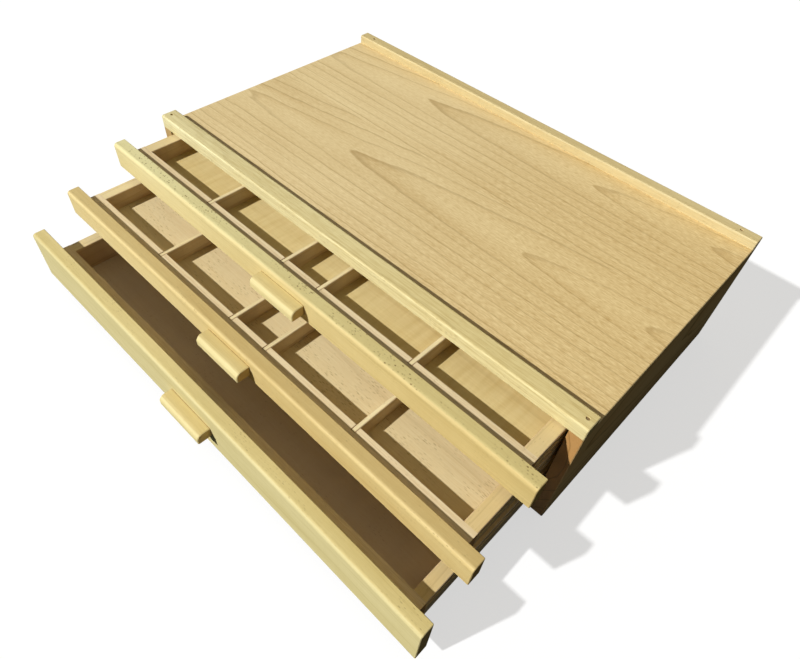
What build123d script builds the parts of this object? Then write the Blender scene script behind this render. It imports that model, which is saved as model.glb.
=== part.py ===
from build123d import *
import os

# Pastel drawer box: a beech cabinet with three drawers, drawn with the drawers pulled out.
# X runs to the right, Y to the back and Z up. The origin is the centre of the cabinet's
# underside. All sizes are in millimetres.

# --- Cabinet ---------------------------------------------------------------------------
cabinet_width = 400.0
cabinet_depth = 228.0
side_thickness = 9.5
back_thickness = 9.5
top_panel_thickness = 3.0
bottom_panel_thickness = 4.0
bottom_rabbet_depth = 5.0  # how far the bottom panel reaches into each side
front_rail_depth = 13.2
back_rail_depth = 10.0
rail_height = 10.0
rail_rounding = 1.4
rail_end_softening = 0.5
base_rail_depth = 12.0
base_rail_height = 13.5
edge_softening = 0.5  # hand-sanded edges of boards and walls

# --- Drawer fronts and handles ---------------------------------------------------------
front_thickness = 9.5
shallow_front_rise = 5.0  # how far a front stands above its tray
deep_front_rise = 14.5
deep_front_drop = 2.5  # how far the deep front reaches below its tray
front_gap = 1.5  # between two fronts, and between the lowest front and the base rail
front_rounding = 2.6  # top front edge
front_softening = 0.4  # all its other edges
handle_length = 42.5
handle_depth = 10.0
handle_height = 8.5
handle_rounding = 4.4
handle_softening = 1.0  # bottom front edge
handle_end_softening = 0.5

# --- Drawer trays ----------------------------------------------------------------------
tray_side_gap = 2.0  # between a tray and the inside of the cabinet's side
tray_back_gap = 6.5  # between a closed tray and the cabinet's back
tray_top_gap = 2.0  # between the upper tray and the top panel
wall_thickness = 9.5  # left and right walls
end_wall_thickness = 9.0  # front and back walls
floor_thickness = 2.5
floor_rabbet_depth = 4.0
shallow_wall_height = 15.5
deep_wall_height = 24.0
wall_softening = 0.4

# --- Dividers --------------------------------------------------------------------------
divider_thickness = 3.0
divider_softening = 0.4
middle_compartment = 32.0  # clear width between the two inner dividers
slot_depth = 4.5
slot_clearance = 0.3  # on each side of a divider, and at its ends

# --- Runners ---------------------------------------------------------------------------
runner_height = 5.0
runner_grip = 4.0  # how far a runner reaches into the groove of a tray
runner_setback = 14.0  # from the cabinet's front edge
runner_end_bevel = 2.5
groove_lip = 5.0  # wood above the groove
running_clearance = 0.2  # between a runner's top and the groove
groove_play = 0.5  # below a runner
groove_end_play = 0.5  # beside a runner

# --- Fasteners -------------------------------------------------------------------------
pin_radius = 0.9
pin_head_radius = 1.3
pin_head_height = 0.8
pin_sink = 0.8  # how deep a pin's head lies below the wood
pin_clearance = 0.05  # round a pin in a rail; in the wood below it is tight
rail_pin_length = 22.0
back_pin_inset = 14.0  # from the cabinet's end to a pin of the back rail
screw_radius = 1.5
screw_head_radius = 3.0
screw_length = 16.0
screw_spacing = 24.0
screw_clearance = 0.05  # round a screw in the front; in the handle it is tight

# --- How far each drawer is pulled out -------------------------------------------------
upper_opening = 34.0
middle_opening = 79.3
lower_opening = 114.4

# --- Derived places --------------------------------------------------------------------
half_width = cabinet_width / 2
front_y = -cabinet_depth / 2
back_y = cabinet_depth / 2
inner_half_width = half_width - side_thickness
tray_width = 2 * (inner_half_width - tray_side_gap)
tray_depth = cabinet_depth - back_thickness - tray_back_gap
compartment_span = tray_width - 2 * wall_thickness
compartment_length = tray_depth - 2 * end_wall_thickness
runner_width = tray_side_gap + runner_grip
runner_length = cabinet_depth - back_thickness - 2 * runner_setback
groove_depth = runner_grip + groove_end_play
groove_height = runner_height + running_clearance + groove_play
runner_start_y = front_y + runner_setback
rail_pin_reach = rail_pin_length - rail_height + pin_sink  # into the wood below a rail
front_pin_x = half_width - side_thickness / 2
front_pin_y = front_y + front_rail_depth / 2
back_pin_x = half_width - back_pin_inset
back_pin_y = back_y - back_rail_depth / 2
screw_head_depth = screw_head_radius - screw_radius  # a cone of 90 degrees

# Two dividers stand each side of the middle compartment; the four outer ones are equal.
outer_compartment = (compartment_span - middle_compartment - 4 * divider_thickness) / 4
inner_divider_x = (middle_compartment + divider_thickness) / 2
outer_divider_x = inner_divider_x + outer_compartment + divider_thickness
divider_places = [-outer_divider_x, -inner_divider_x, inner_divider_x, outer_divider_x]
slot_width = divider_thickness + 2 * slot_clearance
divider_length = compartment_length + 2 * (slot_depth - slot_clearance)

# The fronts from the base rail upwards; the sides reach just above the upper tray.
shallow_front_height = shallow_wall_height + shallow_front_rise
deep_front_height = deep_front_drop + deep_wall_height + deep_front_rise
lower_front_z = base_rail_height + front_gap
middle_front_z = lower_front_z + deep_front_height + front_gap
upper_front_z = middle_front_z + shallow_front_height + front_gap
side_height = upper_front_z + shallow_wall_height + tray_top_gap
rail_top = side_height + rail_height

# name, underside of the front, height of the front, rise of the front above the tray,
# height of the tray's walls, places of the dividers, opening
drawers = [
    ("upper", upper_front_z, shallow_front_height, shallow_front_rise, shallow_wall_height,
     divider_places, upper_opening),
    ("middle", middle_front_z, shallow_front_height, shallow_front_rise, shallow_wall_height,
     divider_places, middle_opening),
    ("lower", lower_front_z, deep_front_height, deep_front_rise, deep_wall_height,
     [], lower_opening),
]
sides = [("left", -1), ("right", 1)]

os.makedirs("parts", exist_ok=True)


def runner_top(front_z, front_height, rise):
    """Height of a runner's top, just under the upper lip of its tray's groove."""
    return front_z + front_height - rise - groove_lip - running_clearance


# --- Cabinet: sides, panels and base rail -----------------------------------------------
for side_name, side in sides:
    side_x = side * (half_width - side_thickness / 2)
    rabbet_x = side * (inner_half_width + bottom_rabbet_depth / 2)
    with BuildPart() as side_panel:
        with BuildSketch(Plane.XY):
            with Locations((side_x, 0)):
                Rectangle(side_thickness, cabinet_depth)
        extrude(amount=side_height)
        outer_face = side_panel.faces().sort_by(Axis.X)[-1 if side > 0 else 0]
        chamfer(outer_face.edges().filter_by(Axis.Z), edge_softening)
        # Rabbet for the bottom panel, which runs out at the back.
        with BuildSketch(Plane.XY):
            with Locations((rabbet_x, base_rail_depth / 2)):
                Rectangle(bottom_rabbet_depth, cabinet_depth - base_rail_depth)
        extrude(amount=bottom_panel_thickness, mode=Mode.SUBTRACT)
        with Locations((side * front_pin_x, front_pin_y, side_height)):
            Hole(pin_radius, rail_pin_reach)
    side_panel.part.label = f"side_panel_{side_name}"
    export_step(side_panel.part, f"parts/side_panel_{side_name}.step")

with BuildPart() as top_panel:
    with BuildSketch(Plane.XY.offset(side_height)):
        with Locations((0, (front_rail_depth - back_rail_depth) / 2)):
            Rectangle(cabinet_width, cabinet_depth - front_rail_depth - back_rail_depth)
    extrude(amount=top_panel_thickness)
    chamfer(top_panel.edges().filter_by(Axis.Y).group_by(Axis.Z)[-1], edge_softening)
top_panel.part.label = "top_panel"
export_step(top_panel.part, "parts/top_panel.step")

with BuildPart() as bottom_panel:
    with BuildSketch(Plane.XY):
        with Locations((0, base_rail_depth / 2)):
            Rectangle(2 * (inner_half_width + bottom_rabbet_depth), cabinet_depth - base_rail_depth)
    extrude(amount=bottom_panel_thickness)
bottom_panel.part.label = "bottom_panel"
export_step(bottom_panel.part, "parts/bottom_panel.step")

with BuildPart() as back_panel:
    with BuildSketch(Plane.XY.offset(bottom_panel_thickness)):
        with Locations((0, back_y - back_thickness / 2)):
            Rectangle(2 * inner_half_width, back_thickness)
    extrude(amount=side_height - bottom_panel_thickness)
    with Locations((-back_pin_x, back_pin_y, side_height), (back_pin_x, back_pin_y, side_height)):
        Hole(pin_radius, rail_pin_reach)
back_panel.part.label = "back_panel"
export_step(back_panel.part, "parts/back_panel.step")

with BuildPart() as base_rail:
    with BuildSketch(Plane.XY):
        with Locations((0, front_y + base_rail_depth / 2)):
            Rectangle(2 * inner_half_width, base_rail_depth)
    extrude(amount=base_rail_height)
    chamfer(base_rail.edges().filter_by(Axis.X).group_by(Axis.Z)[-1], edge_softening)
base_rail.part.label = "base_rail"
export_step(base_rail.part, "parts/base_rail.step")

# --- Cabinet: the rails before and behind the top panel, and their pins -------------------
rails = [
    ("front_rail", front_rail_depth, front_pin_x, front_pin_y),
    ("back_rail", back_rail_depth, back_pin_x, back_pin_y),
]
for rail_name, rail_depth, pin_x, rail_y in rails:
    with BuildPart() as rail:
        with BuildSketch(Plane.YZ.offset(-half_width)):
            with Locations((rail_y, side_height + rail_height / 2)):
                section = Rectangle(rail_depth, rail_height)
            fillet(section.vertices().group_by(Axis.Y)[-1], rail_rounding)
        extrude(amount=cabinet_width)
        end_edges = rail.faces().filter_by(Axis.X).edges()
        chamfer(end_edges - end_edges.group_by(Axis.Z)[0], rail_end_softening)
        with Locations((-pin_x, rail_y, rail_top), (pin_x, rail_y, rail_top)):
            CounterBoreHole(
                pin_radius + pin_clearance,
                pin_head_radius + pin_clearance,
                pin_sink + pin_head_height,
                rail_height,
            )
    rail.part.label = rail_name
    export_step(rail.part, f"parts/{rail_name}.step")

downwards = (Align.CENTER, Align.CENTER, Align.MAX)
with BuildPart() as rail_pins:
    for rail_name, rail_depth, pin_x, rail_y in rails:
        head_top = rail_top - pin_sink
        with Locations((-pin_x, rail_y, head_top), (pin_x, rail_y, head_top)):
            Cylinder(pin_head_radius, pin_head_height, align=downwards)
            Cylinder(pin_radius, rail_pin_length, align=downwards)
rail_pins.part.label = "rail_pins"
export_step(rail_pins.part, "parts/rail_pins.step")

# --- Cabinet: runners, bevelled in front so that a tray finds them ------------------------
for drawer_name, front_z, front_height, rise, wall_height, places, opening in drawers:
    top_z = runner_top(front_z, front_height, rise)
    for side_name, side in sides:
        root_x = side * inner_half_width
        tip_x = side * (inner_half_width - runner_width)
        bevel_x = tip_x + side * runner_end_bevel
        with BuildPart() as runner:
            with BuildSketch(Plane.XY.offset(top_z - runner_height)):
                with BuildLine():
                    Polyline(
                        (root_x, runner_start_y),
                        (bevel_x, runner_start_y),
                        (tip_x, runner_start_y + runner_end_bevel),
                        (tip_x, runner_start_y + runner_length),
                        (root_x, runner_start_y + runner_length),
                        close=True,
                    )
                make_face()
            extrude(amount=runner_height)
        runner.part.label = f"runner_{drawer_name}_{side_name}"
        export_step(runner.part, f"parts/runner_{drawer_name}_{side_name}.step")

# --- Drawers ------------------------------------------------------------------------------
for drawer_name, front_z, front_height, rise, wall_height, places, opening in drawers:
    front_back_y = front_y - opening  # rear face of the front, which the tray starts at
    front_face_y = front_back_y - front_thickness
    tray_back_y = front_back_y + tray_depth
    inside_front_y = front_back_y + end_wall_thickness
    inside_back_y = tray_back_y - end_wall_thickness
    wall_top = front_z + front_height - rise
    tray_z = wall_top - wall_height
    floor_top = tray_z + floor_thickness
    groove_z = wall_top - groove_lip - groove_height / 2
    handle_z = front_z + front_height / 2

    # Front: a board as wide as the cabinet, rounded along its top front edge.
    screw_plane = Plane(origin=(0, front_back_y, handle_z), x_dir=(1, 0, 0), z_dir=(0, 1, 0))
    with BuildPart() as front:
        with BuildSketch(Plane.YZ.offset(-half_width)):
            with Locations((front_back_y - front_thickness / 2, handle_z)):
                Rectangle(front_thickness, front_height)
        extrude(amount=cabinet_width)
        fillet(front.edges().filter_by(Axis.X).group_by(Axis.Z)[-1].sort_by(Axis.Y)[0], front_rounding)
        chamfer(front.edges().filter_by(Axis.X).group_by(Axis.Z)[-1].sort_by(Axis.Y)[-1], front_softening)
        chamfer(front.edges().filter_by(Axis.X).group_by(Axis.Z)[0], front_softening)
        chamfer(front.faces().filter_by(Axis.X).edges(), front_softening)
        with Locations(screw_plane):
            with GridLocations(screw_spacing, 1, 2, 1):
                CounterSinkHole(
                    screw_radius + screw_clearance,
                    screw_head_radius,
                    depth=front_thickness,
                    counter_sink_angle=90,
                )
    front.part.label = f"{drawer_name}_front"
    export_step(front.part, f"parts/{drawer_name}_front.step")

    # Handle: a short bar, rounded off to a finger grip in front.
    with BuildPart() as handle:
        with BuildSketch(Plane.YZ.offset(-handle_length / 2)):
            with Locations((front_face_y - handle_depth / 2, handle_z)):
                Rectangle(handle_depth, handle_height)
        extrude(amount=handle_length)
        fillet(handle.edges().filter_by(Axis.X).group_by(Axis.Z)[-1].sort_by(Axis.Y)[0], handle_rounding)
        fillet(handle.edges().filter_by(Axis.X).group_by(Axis.Z)[0].sort_by(Axis.Y)[0], handle_softening)
        end_edges = handle.faces().filter_by(Axis.X).edges()
        chamfer(end_edges - end_edges.group_by(Axis.Y)[-1], handle_end_softening)
        with Locations(screw_plane.offset(-front_thickness)):
            with GridLocations(screw_spacing, 1, 2, 1):
                Hole(screw_radius, screw_length - front_thickness)
    handle.part.label = f"{drawer_name}_handle"
    export_step(handle.part, f"parts/{drawer_name}_handle.step")

    with BuildPart() as handle_screws:
        with Locations(screw_plane):
            with GridLocations(screw_spacing, 1, 2, 1):
                Cylinder(screw_radius, screw_length, align=downwards)
                Cone(screw_radius, screw_head_radius, screw_head_depth, align=downwards)
    handle_screws.part.label = f"{drawer_name}_handle_screws"
    export_step(handle_screws.part, f"parts/{drawer_name}_handle_screws.step")

    # Front and back wall: both run over the full width of the tray. The groove for the
    # runners leaves the tray through the ends of the back wall.
    for wall_name, rear_y, slot_y in [
        ("front_wall", inside_front_y, inside_front_y - slot_depth / 2),
        ("back_wall", tray_back_y, inside_back_y + slot_depth / 2),
    ]:
        with BuildPart() as end_wall:
            with BuildSketch(Plane.XZ.offset(-rear_y)):
                with Locations((0, tray_z + wall_height / 2)):
                    Rectangle(tray_width, wall_height)
                if wall_name == "back_wall":
                    with Locations((0, groove_z)):
                        with GridLocations(tray_width - groove_depth, 1, 2, 1):
                            Rectangle(groove_depth, groove_height, mode=Mode.SUBTRACT)
            extrude(amount=end_wall_thickness)
            if places:
                with BuildSketch(Plane.XY.offset(floor_top)):
                    with Locations(*[(place, slot_y) for place in places]):
                        Rectangle(slot_width, slot_depth)
                extrude(amount=wall_height - floor_thickness, mode=Mode.SUBTRACT)
        end_wall.part.label = f"{drawer_name}_{wall_name}"
        export_step(end_wall.part, f"parts/{drawer_name}_{wall_name}.step")

    # Left and right wall: one section with the runner's groove outside and a rabbet for
    # the floor inside, drawn at the back wall and run forwards.
    for side_name, side in sides:
        wall_x = side * (tray_width - wall_thickness) / 2
        groove_x = side * (tray_width - groove_depth) / 2
        floor_rabbet_x = side * (compartment_span + floor_rabbet_depth) / 2
        with BuildPart() as side_wall:
            with BuildSketch(Plane.XZ.offset(-inside_back_y)):
                with Locations((wall_x, tray_z + wall_height / 2)):
                    Rectangle(wall_thickness, wall_height)
                with Locations((groove_x, groove_z)):
                    Rectangle(groove_depth, groove_height, mode=Mode.SUBTRACT)
                with Locations((floor_rabbet_x, tray_z + floor_thickness / 2)):
                    Rectangle(floor_rabbet_depth, floor_thickness, mode=Mode.SUBTRACT)
            extrude(amount=compartment_length)
            chamfer(side_wall.edges().filter_by(Axis.Y).group_by(Axis.Z)[-1], wall_softening)
        side_wall.part.label = f"{drawer_name}_{side_name}_wall"
        export_step(side_wall.part, f"parts/{drawer_name}_{side_name}_wall.step")

    with BuildPart() as floor:
        with BuildSketch(Plane.XY.offset(tray_z)):
            with Locations((0, (inside_front_y + inside_back_y) / 2)):
                Rectangle(compartment_span + 2 * floor_rabbet_depth, compartment_length)
        extrude(amount=floor_thickness)
    floor.part.label = f"{drawer_name}_floor"
    export_step(floor.part, f"parts/{drawer_name}_floor.step")

    # Dividers: thin strips that stand on the floor, with their ends in the slots.
    for number, place in enumerate(places, start=1):
        with BuildPart() as divider:
            with BuildSketch(Plane.XY.offset(floor_top)):
                with Locations((place, (inside_front_y + inside_back_y) / 2)):
                    Rectangle(divider_thickness, divider_length)
            extrude(amount=wall_height - floor_thickness)
            chamfer(divider.edges().filter_by(Axis.Y).group_by(Axis.Z)[-1], divider_softening)
        divider.part.label = f"{drawer_name}_divider_{number}"
        export_step(divider.part, f"parts/{drawer_name}_divider_{number}.step")
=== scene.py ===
import math
import random

import bmesh
import bpy
from mathutils import Euler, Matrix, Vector


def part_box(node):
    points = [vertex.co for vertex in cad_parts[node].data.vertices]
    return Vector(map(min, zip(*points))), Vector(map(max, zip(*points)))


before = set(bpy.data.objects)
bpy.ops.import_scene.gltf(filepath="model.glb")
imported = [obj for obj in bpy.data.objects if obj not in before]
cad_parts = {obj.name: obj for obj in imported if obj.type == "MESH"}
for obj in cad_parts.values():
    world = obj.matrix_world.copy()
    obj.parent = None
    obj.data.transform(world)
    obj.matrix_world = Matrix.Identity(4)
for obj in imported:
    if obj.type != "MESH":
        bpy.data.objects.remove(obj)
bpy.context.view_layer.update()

bl_info = {
    "name": "Pastel drawer box",
    "version": (1, 0, 0),
    "blender": (4, 5, 0),
    "location": "3D View > Sidebar > Pastel box",
    "description": "Finishes the beech drawer box: wood for every board, nails and the stage",
    "category": "Object",
}

MM = 0.001
DRAWERS = ("upper", "middle", "lower")
SIDES = ("left", "right")

# The camera stands in front of the right end and looks down into the drawers. Its place is in
# metres, its turn in degrees, and its lens and sensor are in millimetres.
CAMERA_PLACE = (0.23462, -0.31841, 0.38612)
CAMERA_TURN = (40.210, -3.515, 43.857)
CAMERA_LENS = 28.163
SENSOR_WIDTH = 36.0
CLIP_START = 0.01

# The way each lamp's light travels. The key lamp is white, the one above the box is warm, and
# the even fill is bluish.
KEY_DIRECTION = (0.45, 1.14, -1.0)
TOP_DIRECTION = (0.1, -0.25, -1.0)
TOP_COLOUR = (1.0, 0.77, 0.4)
TOP_SPREAD = math.radians(90)
LAMP_DISTANCE = 2.0
FILL_COLOUR = (0.53, 0.72, 0.95, 1.0)

# The paper glows a little where it is seen, and throws little light back at the box.
PAPER_GLOW = 0.62
PAPER_SEEN = (0.42, 0.42, 0.42, 1.0)
PAPER_UNSEEN = (0.06, 0.065, 0.06, 1.0)

# Bare, sanded wood: how much it shines, how deep its grain is in metres, and how strongly
# that grain shows.
WOOD_GLOSS = 0.25
GRAIN_DEPTH = 0.0002
BEECH_BUMP = 0.25
VENEER_BUMP = 0.2
WOOD_OUTPUTS = [("Color", "Color"), ("Roughness", "Float"), ("Height", "Float")]

# Pins and screws: how metallic they are, and how fine the spots on them.
METALLIC_SHARE = 0.6
SPOT_SCALE = 1800.0

DIVIDER_NUMBERS = range(1, 5)

# Where a shade of 0 lies between the light and the dark tone of the wood.
BEECH_TONE = 0.4
VENEER_TONE = 0.36
# Each board is cut from another place of the pattern, up to this many millimetres away.
SEED_RANGE = 400.0
# How far from the board's middle its drift of colour starts and ends, in millimetres.
DRIFT_REACH = 190.0

# The veneer of the top is laid in leaves cut one after another from the same log, so
# that each leaf repeats the hearts of its neighbour. Lengths are in millimetres, and
# LEAF_BELOW_HEART is the share of a leaf's width that lies in front of its heart.
LEAF_WIDTH = 103.0
LEAF_HEART_Y = -24.5
LEAF_BELOW_HEART = 0.66
LEAF_SHIFT = 8.0
HEART_RADIUS = 10.0
# Distances from the leaf's own zero line, in millimetres: the rings stand close, but one of
# them, between the first and the second arch, is wide.
RING_SPACING = 8.3
WIDE_RING = (1.9, 16.3)
THIN_RING_SPACING = 4.7
VENEER_LINES = 0.30

draws = random.Random(7)


# --- Colours -----------------------------------------------------------------------------
def tint(red, green, blue):
    """A colour written as 0 to 255 on the screen, as the linear colour of a node."""
    levels = [level / 255 for level in (red, green, blue)]
    linear = [v / 12.92 if v <= 0.04045 else ((v + 0.055) / 1.055) ** 2.4 for v in levels]
    return (*linear, 1.0)


# As a tint, white changes nothing.
WHITE = (1.0, 1.0, 1.0, 1.0)
# Painted shade on the upright sides of the dividers and of the tray walls.
DIVIDER_SIDE_SHADE = tint(243, 234, 238)
WALL_SIDE_SHADE = tint(243, 232, 222)
END_GRAIN = tint(226, 208, 190)
# Painted shade of the joint where a handle meets its front.
JOINT_SHADE = tint(176, 146, 112)


# --- Node helpers ------------------------------------------------------------------------
def feed(tree, socket, value):
    """Links value to the socket if it is a socket itself, or sets it."""
    if isinstance(value, bpy.types.NodeSocket):
        tree.links.new(value, socket)
    else:
        socket.default_value = value


def put(tree, kind, inputs=None, **settings):
    """Adds a shader node with its settings and inputs."""
    made = tree.nodes.new("ShaderNode" + kind)
    for name, value in settings.items():
        setattr(made, name, value)
    for key, value in (inputs or {}).items():
        feed(tree, made.inputs[key], value)
    return made


def calc(tree, operation, *values):
    """A Math node on one to three numbers or sockets."""
    return put(tree, "Math", dict(enumerate(values)), operation=operation).outputs[0]


def vector_calc(tree, operation, *values):
    """A Vector Math node."""
    return put(tree, "VectorMath", dict(enumerate(values)), operation=operation).outputs[0]


def ease(tree, value, start, end, low=0.0, high=1.0):
    """Turns smoothly from low to high while value goes from start to end."""
    inputs = {"Value": value, "From Min": start, "From Max": end, "To Min": low, "To Max": high}
    return put(tree, "MapRange", inputs, interpolation_type="SMOOTHSTEP").outputs[0]


def blend(tree, factor, first, second, kind="MIX"):
    """A colour between first and second."""
    inputs = {0: factor, 6: first, 7: second}
    return put(tree, "Mix", inputs, data_type="RGBA", blend_type=kind).outputs[2]


def grain_noise(tree, place, stretch, detail=2.0, roughness=0.5):
    """Noise stretched along the grain: stretch is how many features fit in a millimetre."""
    scaled = vector_calc(tree, "MULTIPLY", place, stretch)
    inputs = {"Vector": scaled, "Scale": 1.0, "Detail": detail, "Roughness": roughness}
    return put(tree, "TexNoise", inputs).outputs[0]


def centred(tree, value, amount):
    """Noise as a number from about -amount/2 to amount/2."""
    return calc(tree, "MULTIPLY", calc(tree, "SUBTRACT", value, 0.5), amount)


def new_group(name, inputs, outputs):
    """An empty node group with its sockets; returns the group, its input and its output node."""
    group = bpy.data.node_groups.new(name, "ShaderNodeTree")
    for socket_name, socket_type in inputs:
        group.interface.new_socket(socket_name, in_out="INPUT", socket_type="NodeSocket" + socket_type)
    for socket_name, socket_type in outputs:
        group.interface.new_socket(socket_name, in_out="OUTPUT", socket_type="NodeSocket" + socket_type)
    return group, group.nodes.new("NodeGroupInput"), group.nodes.new("NodeGroupOutput")


# --- Wood --------------------------------------------------------------------------------
def give(group, result, colour, rough, height):
    """Links what a wood's node group gives to its output node."""
    for name, socket in (("Color", colour), ("Roughness", rough), ("Height", height)):
        group.links.new(socket, result.inputs[name])


def ring_lines(tree, distance, spacing):
    """Growth rings at every spacing of distance: (thin dark line, soft tone inside it)."""
    turns = calc(tree, "DIVIDE", distance, spacing)
    phase = calc(tree, "FRACT", turns)
    number = calc(tree, "FLOOR", turns)
    chance = put(tree, "TexWhiteNoise", {"W": number}, noise_dimensions="1D").outputs[0]
    strength = ease(tree, chance, 0.0, 1.0, 0.6, 1.0)
    rise = ease(tree, phase, 0.84, 0.95)
    fall = ease(tree, phase, 0.965, 1.0, 1.0, 0.0)
    line = calc(tree, "MULTIPLY", calc(tree, "MULTIPLY", rise, fall), strength)
    tone = calc(tree, "MULTIPLY", calc(tree, "POWER", phase, 4.0), strength)
    return line, calc(tree, "MULTIPLY", tone, fall)


def ray_flecks(tree, place, length, width, share):
    """Short dark dashes of beech, in loose clusters."""
    stretch = put(tree, "CombineXYZ", {
        0: calc(tree, "DIVIDE", 1.0, length),
        1: calc(tree, "DIVIDE", 1.0, width),
        2: calc(tree, "DIVIDE", 1.0, width),
    }).outputs[0]
    stretched = vector_calc(tree, "MULTIPLY", place, stretch)
    cells = put(tree, "TexVoronoi", {"Vector": stretched, "Scale": 1.0})
    spot = ease(tree, cells.outputs["Distance"], 0.18, 0.40, 1.0, 0.0)
    chances = put(tree, "SeparateColor", {0: cells.outputs["Color"]}).outputs
    chosen = ease(tree, calc(tree, "ADD", chances[0], share), 0.95, 1.0)
    chosen = calc(tree, "MULTIPLY", chosen, ease(tree, chances[1], 0.0, 1.0, 0.25, 1.0))
    cluster = ease(tree, grain_noise(tree, place, (0.03, 0.09, 0.09), 3.0), 0.44, 0.60, 0.1, 1.0)
    return calc(tree, "MULTIPLY", calc(tree, "MULTIPLY", spot, chosen), cluster)


def make_beech_group():
    """Solid beech in millimetres, with the grain along X of Place and the log's heart at Heart."""
    group, given, result = new_group(
        "Beech",
        [("Place", "Vector"), ("Seed", "Vector"), ("Heart", "Vector"),
         ("End", "Float"), ("Up", "Float"), ("Seam", "Float"),
         ("Light", "Color"), ("Dark", "Color"), ("Line", "Color"),
         ("Painted Top Shade", "Color"), ("Painted Side Shade", "Color"), ("Drift", "Color"),
         ("Ring", "Float"), ("Taper", "Float"), ("Curl", "Float"), ("Figure", "Float"), ("Streaks", "Float"),
         ("Flecks", "Float"), ("Fleck Length", "Float"), ("Fleck Width", "Float"), ("Fleck Share", "Float")],
        WOOD_OUTPUTS,
    )
    value = given.outputs
    place = vector_calc(group, "ADD", value["Place"], value["Seed"])
    from_heart = vector_calc(group, "SUBTRACT", value["Place"], value["Heart"])
    offset = put(group, "SeparateXYZ", {0: from_heart}).outputs
    across = calc(group, "SQRT", calc(group, "MULTIPLY_ADD", offset[1], offset[1],
                                      calc(group, "MULTIPLY", offset[2], offset[2])))
    wobble = centred(group, grain_noise(group, place, (0.008, 0.03, 0.03), 2.0), 9.0)
    narrowing = calc(group, "MULTIPLY", offset[0], value["Taper"])
    distance = calc(group, "ADD", calc(group, "SUBTRACT", across, narrowing), wobble)
    line, tone = ring_lines(group, distance, value["Ring"])
    broad = centred(group, grain_noise(group, place, (0.006, 0.05, 0.05), 2.0), 1.1)
    fibres = centred(group, grain_noise(group, place, (0.08, 1.6, 1.6), 2.0, 0.6), 1.3)
    streaks = centred(group, grain_noise(group, place, (0.012, 0.7, 0.7), 3.0, 0.6), 1.0)
    fine = calc(group, "MULTIPLY", calc(group, "ADD", fibres, streaks), value["Streaks"])
    curl = calc(group, "MULTIPLY", centred(group, grain_noise(group, place, (0.25, 0.03, 0.03), 2.0), 1.0),
                value["Curl"])
    ring_tone = calc(group, "MULTIPLY", tone, value["Figure"])
    shade = calc(group, "ADD", calc(group, "ADD", broad, fine), ring_tone)
    shade = calc(group, "ADD", shade, curl)
    factor = put(group, "Math", {0: shade, 1: BEECH_TONE}, operation="ADD", use_clamp=True).outputs[0]
    colour = blend(group, factor, value["Light"], value["Dark"])
    colour = blend(group, calc(group, "MULTIPLY", line, value["Figure"]), colour, value["Line"])
    flecks = ray_flecks(group, place, value["Fleck Length"], value["Fleck Width"], value["Fleck Share"])
    flecks = calc(group, "MULTIPLY", flecks, value["Flecks"])
    colour = blend(group, flecks, colour, value["Line"])
    darker = blend(group, 1.0, colour, END_GRAIN, "MULTIPLY")
    colour = blend(group, value["End"], colour, darker)
    # Painted shade: a dark line near one edge across the grain, where a handle meets its front.
    joint_shaded = blend(group, 1.0, colour, JOINT_SHADE, "MULTIPLY")
    colour = blend(group, value["Seam"], colour, joint_shaded)
    # Painted shade: the upper and the upright faces are darkened by their own tints, for how the light falls
    # on them.
    face_shade = blend(group, value["Up"], value["Painted Side Shade"], value["Painted Top Shade"])
    colour = blend(group, 1.0, colour, face_shade, "MULTIPLY")
    along = put(group, "SeparateXYZ", {0: value["Place"]}).outputs[0]
    drifted = blend(group, 1.0, colour, value["Drift"], "MULTIPLY")
    colour = blend(group, ease(group, along, -DRIFT_REACH, DRIFT_REACH), colour, drifted)
    dull_flecks = calc(group, "MULTIPLY", flecks, 0.15)
    rough = calc(group, "ADD", calc(group, "MULTIPLY_ADD", fibres, 0.1, 0.6), dull_flecks)
    height = calc(group, "SUBTRACT", calc(group, "ADD", fibres, calc(group, "MULTIPLY", streaks, 0.5)),
                  calc(group, "ADD", flecks, calc(group, "MULTIPLY", line, 0.4)))
    give(group, result, colour, rough, height)
    return group


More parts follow.
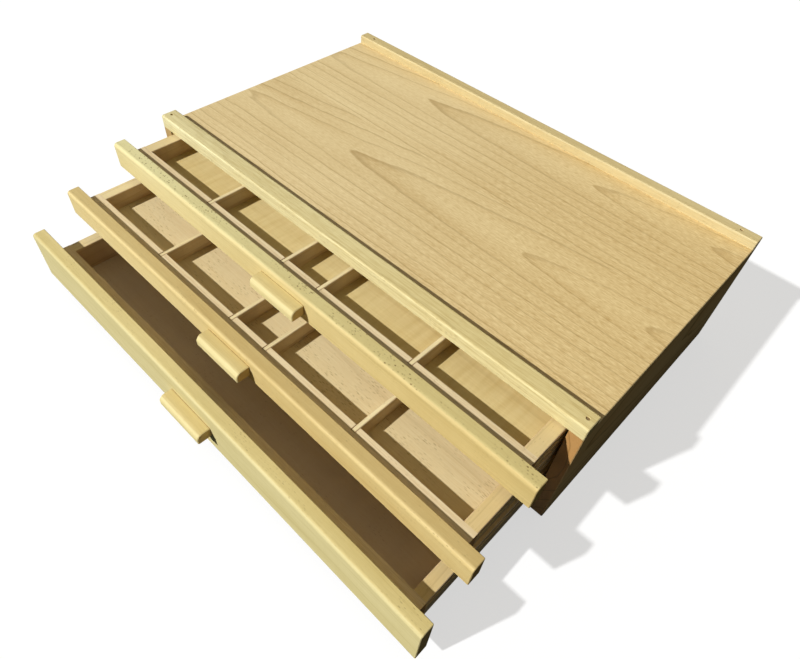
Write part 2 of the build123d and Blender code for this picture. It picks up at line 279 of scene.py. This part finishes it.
def make_veneer_group():
    """Figure of the top's veneer: leaves side by side, each with arches that open to the right."""
    group, given, result = new_group(
        "Veneer",
        [("Place", "Vector"), ("Light", "Color"), ("Dark", "Color"), ("Line", "Color")],
        WOOD_OUTPUTS,
    )
    value = given.outputs
    parts = put(group, "SeparateXYZ", {0: value["Place"]}).outputs
    along = parts[0]
    # Height above the heart within a leaf. The figure of each leaf lies a little further left
    # than that of the leaf in front of it.
    beside = calc(group, "SUBTRACT", parts[1], LEAF_HEART_Y)
    from_edge = calc(group, "ADD", beside, LEAF_WIDTH * LEAF_BELOW_HEART)
    leaf = calc(group, "FLOOR", calc(group, "DIVIDE", from_edge, LEAF_WIDTH))
    rise = calc(group, "SUBTRACT", beside, calc(group, "MULTIPLY", leaf, LEAF_WIDTH))
    along = calc(group, "ADD", along, calc(group, "MULTIPLY", leaf, LEAF_SHIFT))
    local = put(group, "CombineXYZ", {0: along, 1: rise, 2: calc(group, "MULTIPLY", leaf, 0.6)}).outputs[0]
    swell = centred(group, grain_noise(group, local, (0.006, 0.022, 0.5), 2.0), 4.0)
    ripple = centred(group, grain_noise(group, local, (0.03, 0.12, 0.5), 2.0), 2.6)
    # Distance from the heart: below it the rings run straight, above it they climb.
    flat = calc(group, "MULTIPLY", rise, ease(group, rise, -6.0, 12.0, 1.0, 0.8))
    across = calc(group, "SQRT", calc(group, "MULTIPLY_ADD", flat, flat, HEART_RADIUS ** 2))
    taper = ease(group, rise, -34.0, 14.0, 0.002, 0.105)
    distance = calc(group, "SUBTRACT", across, calc(group, "MULTIPLY", along, taper))
    distance = calc(group, "ADD", calc(group, "ADD", distance, swell), ripple)
    inner, outer = WIDE_RING
    squeezed = calc(group, "SUBTRACT", distance, put(group, "MapRange", {
        "Value": distance, "From Min": inner, "From Max": outer, "To Min": inner,
        "To Max": outer - RING_SPACING}).outputs[0])
    line, tone = ring_lines(group, squeezed, RING_SPACING)
    # Near the heart the late wood is cut flat and shows as a broad, darker tongue.
    tongue = ease(group, calc(group, "ABSOLUTE", rise), 2.0, 14.0, 0.7, 0.25)
    thin_line, thin_tone = ring_lines(group, distance, THIN_RING_SPACING)
    thin = ease(group, distance, 24.0, 40.0, 0.0, 0.3)
    broad = centred(group, grain_noise(group, local, (0.005, 0.03, 0.5), 3.0), 0.8)
    drift = ease(group, along, -200.0, 210.0, -0.05, 0.06)
    fibres = centred(group, grain_noise(group, value["Place"], (0.2, 1.1, 1.1), 2.0, 0.6), 1.0)
    fibres = calc(group, "MULTIPLY", fibres, ease(group, along, -120.0, 160.0, 1.0, 1.9))
    streaks = centred(group, grain_noise(group, value["Place"], (0.02, 0.7, 0.7), 3.0, 0.65), 0.6)
    shade = calc(group, "ADD", calc(group, "ADD", broad, drift), calc(group, "ADD", fibres, streaks))
    shade = calc(group, "ADD", shade, calc(group, "MULTIPLY", tone, tongue))
    thin_shade = calc(group, "MULTIPLY", thin_tone, calc(group, "MULTIPLY", thin, 0.4))
    shade = calc(group, "ADD", shade, thin_shade)
    factor = put(group, "Math", {0: shade, 1: VENEER_TONE}, operation="ADD", use_clamp=True).outputs[0]
    colour = blend(group, factor, value["Light"], value["Dark"])
    lines = calc(group, "MAXIMUM", line, calc(group, "MULTIPLY", thin_line, thin))
    lines = calc(group, "MULTIPLY", lines, VENEER_LINES)
    colour = blend(group, lines, colour, value["Line"])
    warmer = blend(group, 1.0, colour, tint(255, 251, 241), "MULTIPLY")
    colour = blend(group, ease(group, along, -60.0, 200.0), colour, warmer)
    rough = calc(group, "MULTIPLY_ADD", fibres, 0.15, 0.5)
    groove = calc(group, "MULTIPLY", lines, 0.5)
    height = calc(group, "SUBTRACT", calc(group, "ADD", fibres, streaks), groove)
    give(group, result, colour, rough, height)
    return group


def shared_group(name, make):
    """The node group of that name, made the first time."""
    return bpy.data.node_groups.get(name) or make()


def empty_tree(owner):
    """Gives a material or a world nodes of its own, and returns its node tree without any."""
    owner.use_nodes = True
    owner.node_tree.nodes.clear()
    return owner.node_tree


def new_material(name):
    """A material with its shader and output only; returns (material, tree, shader)."""
    material = bpy.data.materials.new(name)
    tree = empty_tree(material)
    shader = put(tree, "BsdfPrincipled")
    put(tree, "OutputMaterial", {"Surface": shader.outputs[0]})
    return material, tree, shader


def seen_mask(tree):
    """1 for rays that the camera sees, directly, in gloss or through glass, and 0 for the others."""
    ray = put(tree, "LightPath").outputs
    beyond = calc(tree, "MAXIMUM", ray["Is Glossy Ray"], ray["Is Transmission Ray"])
    return calc(tree, "MAXIMUM", ray["Is Camera Ray"], beyond)


def board_place(tree, node, grain):
    """Object coordinates in millimetres, centred on the board, with the grain along X."""
    low, high = (Vector(corner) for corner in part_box(node))
    middle = (low + high) / 2 / MM
    turn = Euler((0.0, 0.0, -math.pi / 2 if grain == "Y" else 0.0))
    middle.rotate(turn)
    coordinates = put(tree, "TexCoord").outputs["Object"]
    inputs = {"Vector": coordinates, "Location": -middle, "Rotation": turn, "Scale": (1 / MM,) * 3}
    return put(tree, "Mapping", inputs).outputs[0]


def face_direction(tree):
    """X, Y and Z of the way that a face looks."""
    return put(tree, "SeparateXYZ", {0: put(tree, "TexCoord").outputs["Normal"]}).outputs


def end_mask(tree, grain):
    """1 on faces that the grain runs into, 0 on the others."""
    return ease(tree, calc(tree, "ABSOLUTE", face_direction(tree)[grain]), 0.6, 0.95)


def up_mask(tree):
    """1 on faces that look up, 0 on the others."""
    return ease(tree, face_direction(tree)["Z"], 0.75, 0.95)


def finish_wood(tree, shader, figured, bump=BEECH_BUMP):
    """Leads a wood's node group into the shader of a bare, sanded board."""
    tree.links.new(figured.outputs["Color"], shader.inputs["Base Color"])
    tree.links.new(figured.outputs["Roughness"], shader.inputs["Roughness"])
    # The gloss fades at flat angles. The socket's own value holds the plain gloss too, should the link be
    # dropped.
    facing = put(tree, "LayerWeight").outputs["Facing"]
    shader.inputs["Specular IOR Level"].default_value = WOOD_GLOSS
    tree.links.new(ease(tree, facing, 0.3, 0.7, WOOD_GLOSS, 0.0), shader.inputs["Specular IOR Level"])
    inputs = {"Height": figured.outputs["Height"], "Strength": bump, "Distance": GRAIN_DEPTH}
    tree.links.new(put(tree, "Bump", inputs).outputs[0], shader.inputs["Normal"])


def beech(node, tones, grain="X", heart=(0.0, 60.0, -60.0), taper=0.01, ring=6.0, curl=0.2, figure=0.15,
          streaks=0.6, flecks=(0.3, 0.3), fleck_size=(3.0, 0.8), fleck_share=0.4,
          painted_top_shade=WHITE, painted_side_shade=WHITE, drift=WHITE, joint_shade=(1.0, 2.0)):
    """A board of solid beech.

    heart is where the log's heart lies from the board's middle, in millimetres. flecks is how
    strong the flecks are on the upright faces and on the upper ones. drift is the tint at the far
    end of the grain. The last argument is where, across the grain and as a share of the board's
    half width, a painted shade line at a joint starts and is darkest; beyond 1 there is none.
    The tints of the upper and of the upright faces are painted shade, for how the light falls
    on them.
    """
    material, tree, shader = new_material(f"beech_{node}")
    seed = tuple(draws.uniform(-SEED_RANGE, SEED_RANGE) for axis in range(3))
    light, dark, line = tones
    up = up_mask(tree)
    place = board_place(tree, node, grain)
    half = (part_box(node)[1][1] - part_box(node)[0][1]) / 2 / MM
    across = put(tree, "SeparateXYZ", {0: place}).outputs[1]
    values = {
        "Place": place, "Seed": seed, "Heart": heart,
        "End": end_mask(tree, grain), "Up": up, "Seam": ease(tree, across, joint_shade[0] * half, joint_shade[1] * half),
        "Light": light, "Dark": dark, "Line": line,
        "Painted Top Shade": painted_top_shade, "Painted Side Shade": painted_side_shade, "Drift": drift,
        "Ring": ring, "Taper": taper, "Curl": curl, "Figure": figure,
        "Streaks": streaks, "Flecks": ease(tree, up, 0.0, 1.0, *flecks),
        "Fleck Length": fleck_size[0], "Fleck Width": fleck_size[1], "Fleck Share": fleck_share,
    }
    figured = put(tree, "Group", values, node_tree=shared_group("Beech", make_beech_group))
    finish_wood(tree, shader, figured)
    return material


def dress(node, material):
    """Gives a carried-over CAD node its material."""
    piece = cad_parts[node]
    if not piece.material_slots:
        piece.data.materials.append(material)
    for slot in piece.material_slots:
        slot.link = "OBJECT"
        slot.material = material


def wood_tones(name):
    """The light tone, the dark tone and the line colour of a wood, from the sidebar."""
    colours = bpy.context.scene.pastel_box_colours
    return tuple(tuple(getattr(colours, tone)) for tone in (name + "_light", name + "_dark", "line"))


def colour_property(name, description, *levels):
    """A colour in the sidebar with its default."""
    return bpy.props.FloatVectorProperty(
        name=name, description=description, subtype="COLOR", size=4, min=0.0, max=1.0, default=tint(*levels))


class PastelBoxColours(bpy.types.PropertyGroup):
    """Colours of the woods."""

    top_light: colour_property("Top, light", "Early wood of the top's veneer", 230, 209, 159)
    top_dark: colour_property("Top, dark", "Late wood of the top's veneer", 193, 164, 109)
    front_rail_light: colour_property("Front rail, light", "Light tone of the front rail", 238, 230, 182)
    front_rail_dark: colour_property("Front rail, dark", "Dark tone of the front rail", 216, 202, 148)
    back_rail_light: colour_property("Back rail, light", "Light tone of the back rail", 221, 204, 154)
    back_rail_dark: colour_property("Back rail, dark", "Dark tone of the back rail", 201, 179, 126)
    upper_front_light: colour_property("Upper front, light", "Light tone of the upper front", 234, 220, 164)
    upper_front_dark: colour_property("Upper front, dark", "Dark tone of the upper front", 213, 193, 131)
    handles_light: colour_property("Handles, light", "Light tone of the handles", 232, 219, 164)
    handles_dark: colour_property("Handles, dark", "Dark tone of the handles", 212, 193, 131)
    middle_front_light: colour_property(
        "Middle front, light", "Light tone of the middle front", 232, 213, 156)
    middle_front_dark: colour_property("Middle front, dark", "Dark tone of the middle front", 212, 186, 122)
    lower_front_light: colour_property("Lower front, light", "Light tone of the lower front", 228, 216, 164)
    lower_front_dark: colour_property("Lower front, dark", "Dark tone of the lower front", 208, 193, 134)
    carcass_light: colour_property("Carcass, light", "Light tone of sides, back and bottom", 226, 192, 132)
    carcass_dark: colour_property("Carcass, dark", "Dark tone of sides, back and bottom", 204, 162, 100)
    walls_light: colour_property("Walls, light", "Light tone of the tray walls", 227, 210, 173)
    walls_dark: colour_property("Walls, dark", "Dark tone of the tray walls", 207, 183, 137)
    dividers_light: colour_property("Dividers, light", "Light tone of the dividers", 234, 220, 176)
    dividers_dark: colour_property("Dividers, dark", "Dark tone of the dividers", 213, 193, 144)
    upper_floor_light: colour_property("Upper floor, light", "Light tone of the upper floor", 219, 201, 147)
    upper_floor_dark: colour_property("Upper floor, dark", "Dark tone of the upper floor", 199, 175, 116)
    middle_floor_light: colour_property(
        "Middle floor, light", "Light tone of the middle floor", 224, 208, 165)
    middle_floor_dark: colour_property("Middle floor, dark", "Dark tone of the middle floor", 207, 185, 138)
    # The lower floor's tones are paler and bluer than those of the other floors: painted light that lifts
    # the floor, which lies in the shade of the drawers above.
    lower_floor_light: colour_property("Lower floor, light", "Light tone of the lower floor", 233, 221, 200)
    lower_floor_dark: colour_property("Lower floor, dark", "Dark tone of the lower floor", 215, 197, 169)
    line: colour_property("Rings and flecks", "Dark lines of the grain", 128, 104, 58)


class PastelBoxStage(bpy.types.PropertyGroup):
    """Lights and floor."""

    key_strength: bpy.props.FloatProperty(
        name="Key light", description="Strength of the lamp from the front left", default=4.0, min=0.0)
    key_spread: bpy.props.FloatProperty(
        name="Key spread", description="How soft the shadows of the key light are",
        default=math.radians(1.5), min=0.0, subtype="ANGLE")
    top_strength: bpy.props.FloatProperty(
        name="Top light", description="Strength of the wide, soft lamp above the box", default=0.38, min=0.0)
    fill_strength: bpy.props.FloatProperty(
        name="Fill light", description="Strength of the even light from all round", default=0.073, min=0.0)
    floor_size: bpy.props.FloatProperty(
        name="Floor size", description="Edge of the square floor", default=12.0, min=1.0, unit="LENGTH")


class PASTELBOX_OT_top(bpy.types.Operator):
    """Lays the figured veneer on the top panel."""

    bl_idname = "pastel_box.top"
    bl_label = "Top panel"

    def execute(self, context):
        material, tree, shader = new_material("veneer_top_panel")
        coordinates = put(tree, "TexCoord").outputs["Object"]
        place = put(tree, "Mapping", {"Vector": coordinates, "Scale": (1 / MM,) * 3}).outputs[0]
        light, dark, line = wood_tones("top")
        values = {"Place": place, "Light": light, "Dark": dark, "Line": line}
        figured = put(tree, "Group", values, node_tree=shared_group("Veneer", make_veneer_group))
        finish_wood(tree, shader, figured, VENEER_BUMP)
        dress("top_panel", material)
        return {"FINISHED"}


class PASTELBOX_OT_rails(bpy.types.Operator):
    """Finishes the rails before and behind the top."""

    bl_idname = "pastel_box.rails"
    bl_label = "Rails"

    def execute(self, context):
        # Both rails get painted shade on their tops.
        dress("front_rail", beech(
            "front_rail", wood_tones("front_rail"), heart=(0.0, 14.0, 90.0), ring=4.0, streaks=1.8,
            flecks=(0.5, 0.25), fleck_size=(4.0, 0.7), painted_top_shade=tint(243, 239, 230),
            drift=tint(250, 243, 228)))
        dress("back_rail", beech(
            "back_rail", wood_tones("back_rail"), heart=(0.0, 14.0, 90.0), ring=4.0, streaks=1.1,
            painted_top_shade=tint(242, 240, 232)))
        return {"FINISHED"}


class PASTELBOX_OT_carcass(bpy.types.Operator):
    """Finishes the sides, the back, the bottom, the base rail and the runners."""

    bl_idname = "pastel_box.carcass"
    bl_label = "Carcass"

    def execute(self, context):
        # The left side has the yellower wood of the back rail; the rest of the carcass is browner.
        for side, tone in (("left", "back_rail"), ("right", "carcass")):
            node = f"side_panel_{side}"
            dress(node, beech(node, wood_tones(tone), grain="Y", heart=(0.0, 60.0, 20.0), taper=0.08,
                              ring=8.0, figure=0.4))
        for node in ("back_panel", "bottom_panel", "base_rail"):
            dress(node, beech(node, wood_tones("carcass"), heart=(0.0, 30.0, 60.0), taper=0.08,
                              ring=8.0, figure=0.5))
        for drawer in DRAWERS:
            for side in SIDES:
                node = f"runner_{drawer}_{side}"
                dress(node, beech(node, wood_tones("carcass"), grain="Y", ring=3.0))
        return {"FINISHED"}


class PASTELBOX_OT_fronts(bpy.types.Operator):
    """Finishes the three drawer fronts and their handles."""

    bl_idname = "pastel_box.fronts"
    bl_label = "Fronts and handles"

    # Each front's painted shade on its upper faces, its tint at the right end, and its flecks.
    looks = {
        "upper": dict(painted_top_shade=tint(245, 252, 254), drift=tint(240, 230, 212), flecks=(0.1, 1.0),
                      fleck_size=(2.2, 1.5), fleck_share=0.75),
        "middle": dict(painted_top_shade=tint(234, 231, 224), drift=tint(242, 236, 224), flecks=(0.5, 0.4),
                       fleck_size=(2.4, 0.9), fleck_share=0.30),
        "lower": dict(painted_top_shade=tint(250, 245, 232), drift=tint(247, 245, 238), flecks=(0.12, 0.5),
                      fleck_size=(3.0, 0.8), fleck_share=0.50),
    }

    def execute(self, context):
        for drawer in DRAWERS:
            node = f"{drawer}_front"
            dress(node, beech(node, wood_tones(node), heart=(0.0, 90.0, -60.0), ring=9.0, figure=0.1,
                              **self.looks[drawer]))
            # The handles get painted shade on their tops and a painted shade line where they meet the front.
            node = f"{drawer}_handle"
            dress(node, beech(node, wood_tones("handles"), heart=(0.0, 60.0, -20.0), figure=0.1,
                              flecks=(0.15, 0.15), painted_top_shade=tint(236, 230, 218), joint_shade=(0.88, 0.99)))
        return {"FINISHED"}


class PASTELBOX_OT_trays(bpy.types.Operator):
    """Finishes the tray walls, the floors and the dividers."""

    bl_idname = "pastel_box.trays"
    bl_label = "Trays"

    # The upper floor has a curly veneer, the middle one a finely flecked one.
    floors = {
        "upper": dict(curl=1.1, streaks=0.5, flecks=(0.1, 0.1)),
        "middle": dict(streaks=0.8, flecks=(0.5, 0.5), fleck_size=(4.4, 1.0), fleck_share=0.95),
        "lower": dict(streaks=0.4),
    }

    def execute(self, context):
        for drawer in DRAWERS:
            for end in ("front", "back"):
                node = f"{drawer}_{end}_wall"
                dress(node, beech(node, wood_tones("walls"), streaks=1.1, painted_side_shade=WALL_SIDE_SHADE))
            for side in SIDES:
                node = f"{drawer}_{side}_wall"
                # Painted shade on the tops of the tray walls, stronger on the right walls; their sides get
                # the walls' painted side shade.
                painted_top_shade = tint(255, 255, 241) if side == "left" else tint(246, 240, 215)
                dress(node, beech(node, wood_tones("walls"), grain="Y", streaks=0.35, painted_top_shade=painted_top_shade,
                                  painted_side_shade=WALL_SIDE_SHADE))
            node = f"{drawer}_floor"
            dress(node, beech(node, wood_tones(node), heart=(0.0, 200.0, -300.0), taper=0.02, ring=20.0,
                              figure=0.1, drift=tint(250, 248, 244), **self.floors[drawer]))
        for drawer in DRAWERS[:2]:
            for number in DIVIDER_NUMBERS:
                node = f"{drawer}_divider_{number}"
                dress(node, beech(node, wood_tones("dividers"), grain="Y", painted_side_shade=DIVIDER_SIDE_SHADE))
        return {"FINISHED"}


class PASTELBOX_OT_fasteners(bpy.types.Operator):
    """Finishes the pins of the rails and the screws of the handles."""

    bl_idname = "pastel_box.fasteners"
    bl_label = "Pins and screws"

    def execute(self, context):
        dress("rail_pins", self.steel("rusty_steel", tint(112, 90, 56), tint(160, 138, 96)))
        steel = self.steel("dull_steel", tint(92, 84, 74), tint(150, 142, 130))
        for drawer in DRAWERS:
            dress(f"{drawer}_handle_screws", steel)
        return {"FINISHED"}

    def steel(self, name, dark, light):
        """Dull metal with a spotty skin between the two colours."""
        material, tree, shader = new_material(name)
        coordinates = put(tree, "TexCoord").outputs["Object"]
        spots = put(tree, "TexNoise", {"Vector": coordinates, "Scale": SPOT_SCALE, "Detail": 3.0}).outputs[0]
        tree.links.new(blend(tree, spots, dark, light), shader.inputs["Base Color"])
        tree.links.new(ease(tree, spots, 0.2, 0.8, 0.45, 0.7), shader.inputs["Roughness"])
        shader.inputs["Metallic"].default_value = METALLIC_SHARE
        return material


class PASTELBOX_OT_stage(bpy.types.Operator):
    """Sets up the floor, the lights, the world and the camera."""

    bl_idname = "pastel_box.stage"
    bl_label = "Stage"

    def execute(self, context):
        scene = context.scene
        settings = scene.pastel_box_stage
        self.lay_floor(scene, settings)
        self.light(scene, settings)
        self.set_camera(scene)
        scene.view_settings.view_transform = "Standard"
        return {"FINISHED"}

    def lay_floor(self, scene, settings):
        """A square sheet of paper under the box."""
        shape = bmesh.new()
        bmesh.ops.create_grid(shape, x_segments=1, y_segments=1, size=settings.floor_size / 2)
        mesh = bpy.data.meshes.new("floor")
        shape.to_mesh(mesh)
        shape.free()
        floor = bpy.data.objects.new("floor", mesh)
        scene.collection.objects.link(floor)
        floor.data.materials.append(self.floor_material())

    def floor_material(self):
        """White paper to the camera, with the shadow of the box on it; it throws little light back."""
        material = bpy.data.materials.new("pale_paper")
        tree = empty_tree(material)
        glow = put(tree, "Emission", {"Color": WHITE, "Strength": PAPER_GLOW})
        paper = put(tree, "BsdfDiffuse", {"Color": PAPER_SEEN})
        lit = put(tree, "AddShader", {0: glow.outputs[0], 1: paper.outputs[0]})
        dull = put(tree, "BsdfDiffuse", {"Color": PAPER_UNSEEN})
        either = put(tree, "MixShader", {0: seen_mask(tree), 1: dull.outputs[0], 2: lit.outputs[0]})
        put(tree, "OutputMaterial", {"Surface": either.outputs[0]})
        return material

    def light(self, scene, settings):
        """Two lamps far away, and an even fill from all round."""
        key = self.add_lamp(scene, "key", KEY_DIRECTION, settings.key_strength)
        key.angle = settings.key_spread
        top = self.add_lamp(scene, "top", TOP_DIRECTION, settings.top_strength)
        top.angle = TOP_SPREAD
        top.color = TOP_COLOUR
        scene.world = bpy.data.worlds.new("studio")
        tree = empty_tree(scene.world)
        fill = put(tree, "Background", {"Color": FILL_COLOUR, "Strength": settings.fill_strength})
        white = put(tree, "Background", {"Color": WHITE, "Strength": 1.0})
        either = put(tree, "MixShader", {0: seen_mask(tree), 1: fill.outputs[0], 2: white.outputs[0]})
        put(tree, "OutputWorld", {"Surface": either.outputs[0]})

    def add_lamp(self, scene, name, direction, strength):
        """A white sun lamp whose light travels in the direction; returns its data."""
        lamp = bpy.data.lights.new(name, "SUN")
        lamp.energy = strength
        made = bpy.data.objects.new(name, lamp)
        made.rotation_euler = Vector(direction).to_track_quat("-Z", "Y").to_euler()
        made.location = -LAMP_DISTANCE * Vector(direction)
        scene.collection.objects.link(made)
        return lamp

    def set_camera(self, scene):
        """Stands the camera where the photo was taken from."""
        lens = bpy.data.cameras.new("camera")
        lens.lens = CAMERA_LENS
        lens.sensor_width = SENSOR_WIDTH
        lens.clip_start = CLIP_START
        camera = bpy.data.objects.new("camera", lens)
        camera.location = CAMERA_PLACE
        camera.rotation_euler = [math.radians(turn) for turn in CAMERA_TURN]
        scene.collection.objects.link(camera)
        scene.camera = camera


STEPS = (
    PASTELBOX_OT_top,
    PASTELBOX_OT_rails,
    PASTELBOX_OT_carcass,
    PASTELBOX_OT_fronts,
    PASTELBOX_OT_trays,
    PASTELBOX_OT_fasteners,
    PASTELBOX_OT_stage,
)


class PASTELBOX_PT_sidebar(bpy.types.Panel):
    """Lists the settings and the steps of the pastel box."""

    bl_idname = "PASTELBOX_PT_sidebar"
    bl_label = "Pastel box"
    bl_space_type = "VIEW_3D"
    bl_region_type = "UI"
    bl_category = "Pastel box"

    def draw(self, context):
        for settings in (context.scene.pastel_box_colours, context.scene.pastel_box_stage):
            box = self.layout.box()
            for name in settings.bl_rna.properties.keys():
                if name not in ("rna_type", "name"):
                    box.prop(settings, name)
        for step in STEPS:
            self.layout.operator(step.bl_idname)


CLASSES = (PastelBoxColours, PastelBoxStage, *STEPS, PASTELBOX_PT_sidebar)


def register():
    for made in CLASSES:
        bpy.utils.register_class(made)
    bpy.types.Scene.pastel_box_colours = bpy.props.PointerProperty(type=PastelBoxColours)
    bpy.types.Scene.pastel_box_stage = bpy.props.PointerProperty(type=PastelBoxStage)


def unregister():
    del bpy.types.Scene.pastel_box_stage
    del bpy.types.Scene.pastel_box_colours
    for made in reversed(CLASSES):
        bpy.utils.unregister_class(made)


def main():
    register()
    for step in STEPS:
        group, name = step.bl_idname.split(".")
        getattr(getattr(bpy.ops, group), name)()


if __name__ == "__main__":
    main()
